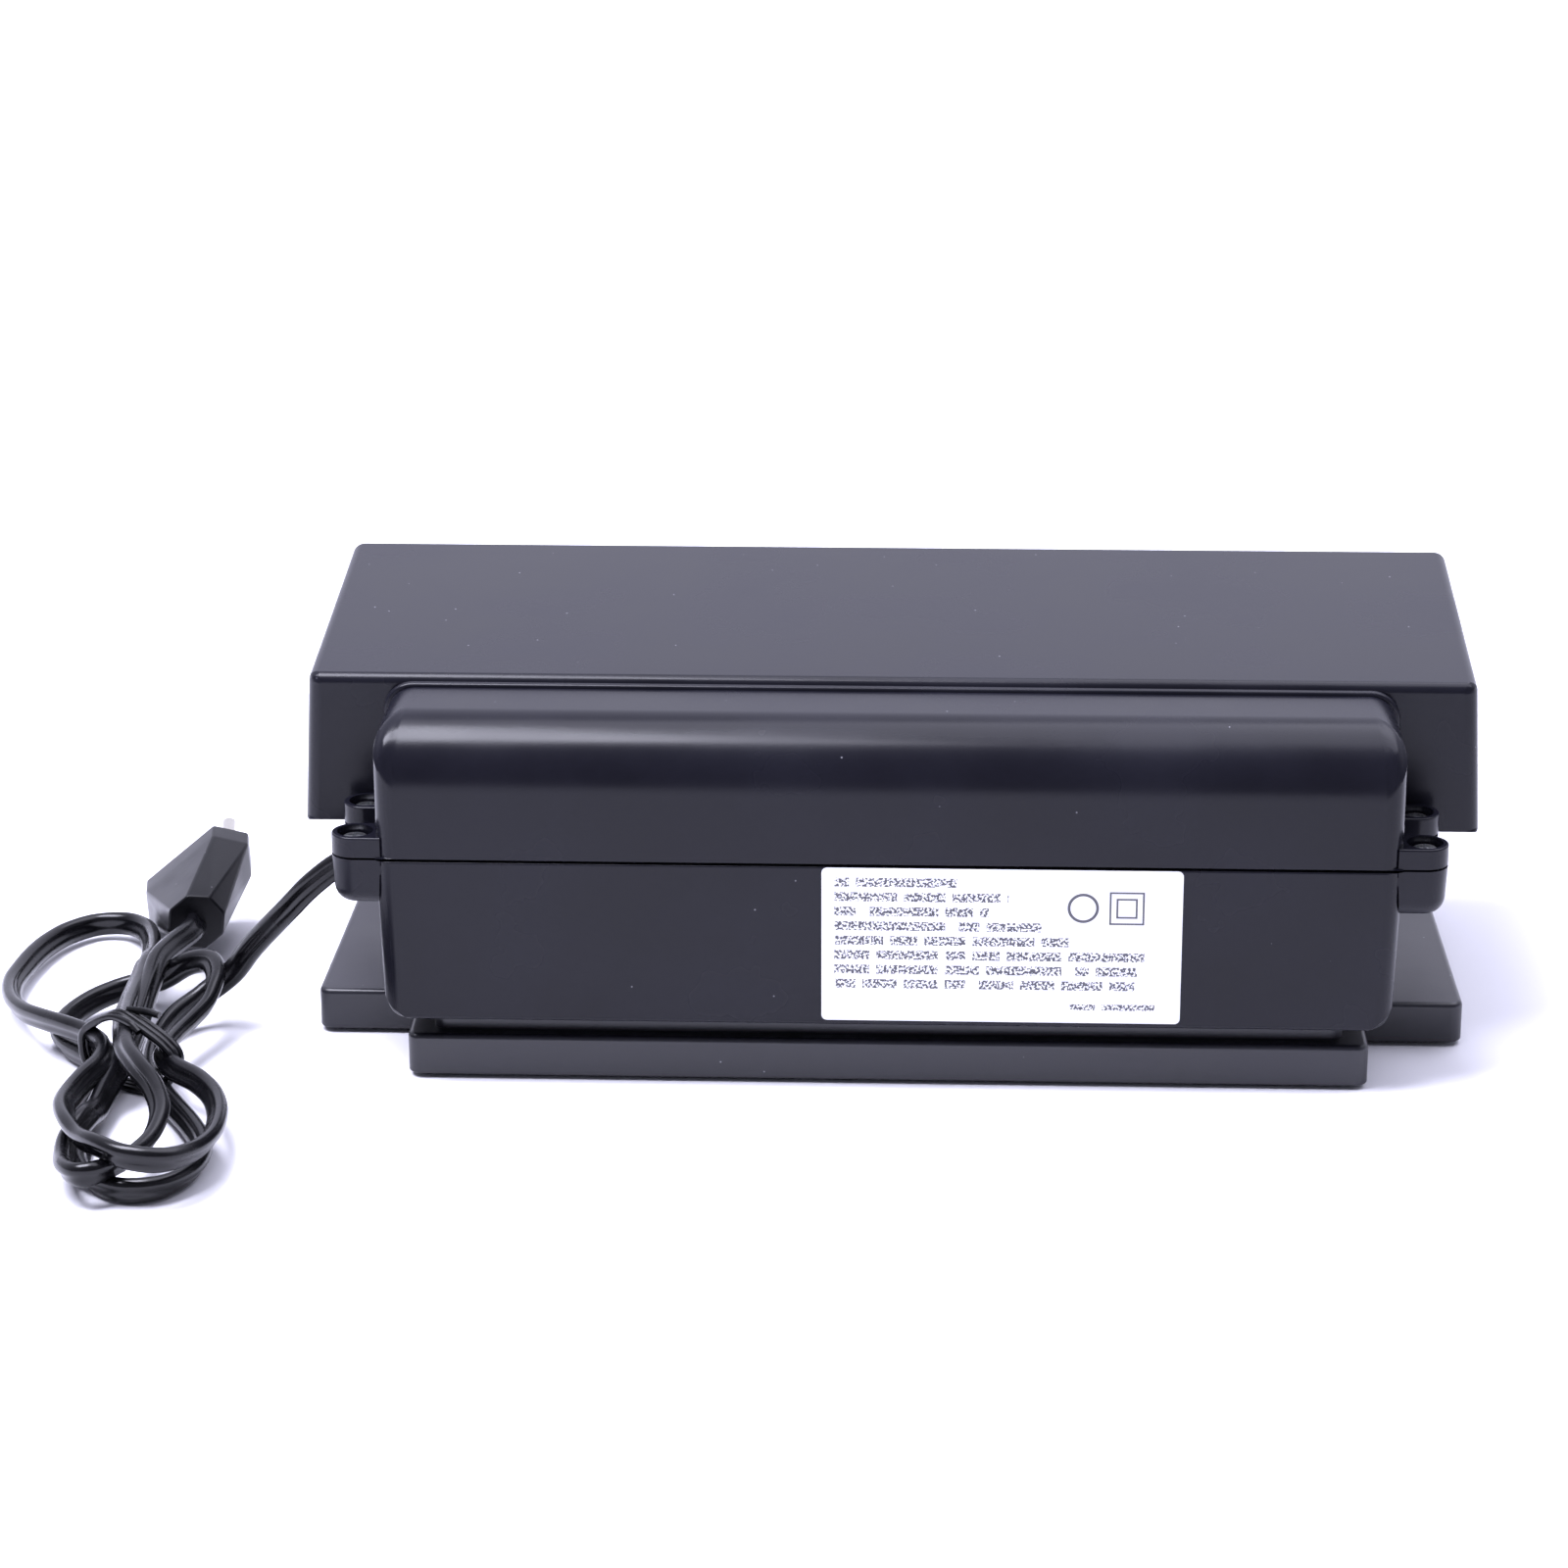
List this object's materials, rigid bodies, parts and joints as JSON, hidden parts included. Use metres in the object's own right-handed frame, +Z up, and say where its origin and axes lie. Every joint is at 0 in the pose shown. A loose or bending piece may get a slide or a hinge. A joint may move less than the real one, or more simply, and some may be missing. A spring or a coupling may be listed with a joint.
{
  "type": "counterfeit bill detector",
  "caption": "Counterfeit bill detector with an ultraviolet lamp hood over an open note bay, a ballast housing behind, a base plate, a rocker switch and a corded plug.",
  "frame": {"origin": "on the ground under the centre of the base and housing, measured without the mains lead", "axes": "+Z up, the note bay opens towards -Y (the front), the ballast housing is at +Y (the rear), the mains lead leaves at +X"},
  "size_m": [0.342, 0.225, 0.0889],
  "materials": {
    "black_abs": "semi-gloss fine-textured moulded ABS, blue-black",
    "black_rubber": "matt",
    "zinc_steel": "zinc plated",
    "label_film": "printed white polyester film",
    "reflector_sheet": "bright rolled",
    "blacklight_glass": "polished deep violet filter glass",
    "lamp_cap_aluminium": "satin",
    "white_polycarbonate": "satin moulded",
    "laminated_steel": "varnished laminations",
    "copper_winding": "enamelled wire, taped",
    "switch_black": "glossy moulded",
    "cord_pvc": "glossy soft PVC",
    "plug_pvc": "satin moulded PVC",
    "nickel_brass": "nickel plated"
  },
  "bodies": {
    "housing": {"base_plate": "black_abs", "bottom_plate": "black_abs", "rear_lower_shell": "black_abs", "rear_upper_cover": "black_abs", "hood_shell": "black_abs", "foot_front_left": "black_rubber", "foot_front_right": "black_rubber", "foot_rear_left": "black_rubber", "foot_rear_right": "black_rubber", "base_screw_1": "zinc_steel", "base_screw_2": "zinc_steel", "base_screw_3": "zinc_steel", "base_screw_4": "zinc_steel", "ear_screw_1": "zinc_steel", "ear_screw_2": "zinc_steel", "ear_screw_3": "zinc_steel", "ear_screw_4": "zinc_steel", "hood_screw_1": "zinc_steel", "hood_screw_2": "zinc_steel", "reflector_screw_1": "zinc_steel", "reflector_screw_2": "zinc_steel", "rating_label": "label_film", "reflector": "reflector_sheet", "front_holder_left": "white_polycarbonate", "front_holder_right": "white_polycarbonate", "rear_holder_left": "white_polycarbonate", "rear_holder_right": "white_polycarbonate", "starter_socket_1": "white_polycarbonate", "starter_1": "white_polycarbonate", "ballast_core_1": "laminated_steel", "ballast_coil_1": "copper_winding", "starter_socket_2": "white_polycarbonate", "starter_2": "white_polycarbonate", "ballast_core_2": "laminated_steel", "ballast_coil_2": "copper_winding", "terminal_block": "white_polycarbonate", "switch_body": "switch_black", "cord_grommet": "black_rubber", "cord_lead": "cord_pvc", "cord_bundle": "cord_pvc", "cord_tie": "cord_pvc", "cord_tail": "cord_pvc", "plug_body": "plug_pvc", "plug_pin_1": "nickel_brass", "plug_pin_2": "nickel_brass"},
    "rocker": {"switch_rocker": "switch_black"},
    "front_lamp": {"front_lamp_glass": "blacklight_glass", "front_lamp_cap_left": "lamp_cap_aluminium", "front_lamp_cap_right": "lamp_cap_aluminium"},
    "rear_lamp": {"rear_lamp_glass": "blacklight_glass", "rear_lamp_cap_left": "lamp_cap_aluminium", "rear_lamp_cap_right": "lamp_cap_aluminium"}
  },
  "joints": [
    {"name": "power_rocker", "type": "hinge", "parent": "housing", "child": "rocker", "pos_m": [0.105, -0.0528, 0.069], "axis": [0, 0, 1], "range_deg": [0, 20]},
    {"name": "front_lamp_turn", "type": "hinge", "parent": "housing", "child": "front_lamp", "pos_m": [0, -0.019, 0.062], "axis": [1, 0, 0], "range_deg": [0, 90]},
    {"name": "rear_lamp_turn", "type": "hinge", "parent": "housing", "child": "rear_lamp", "pos_m": [0, 0.006, 0.062], "axis": [1, 0, 0], "range_deg": [0, 90]}
  ]
}
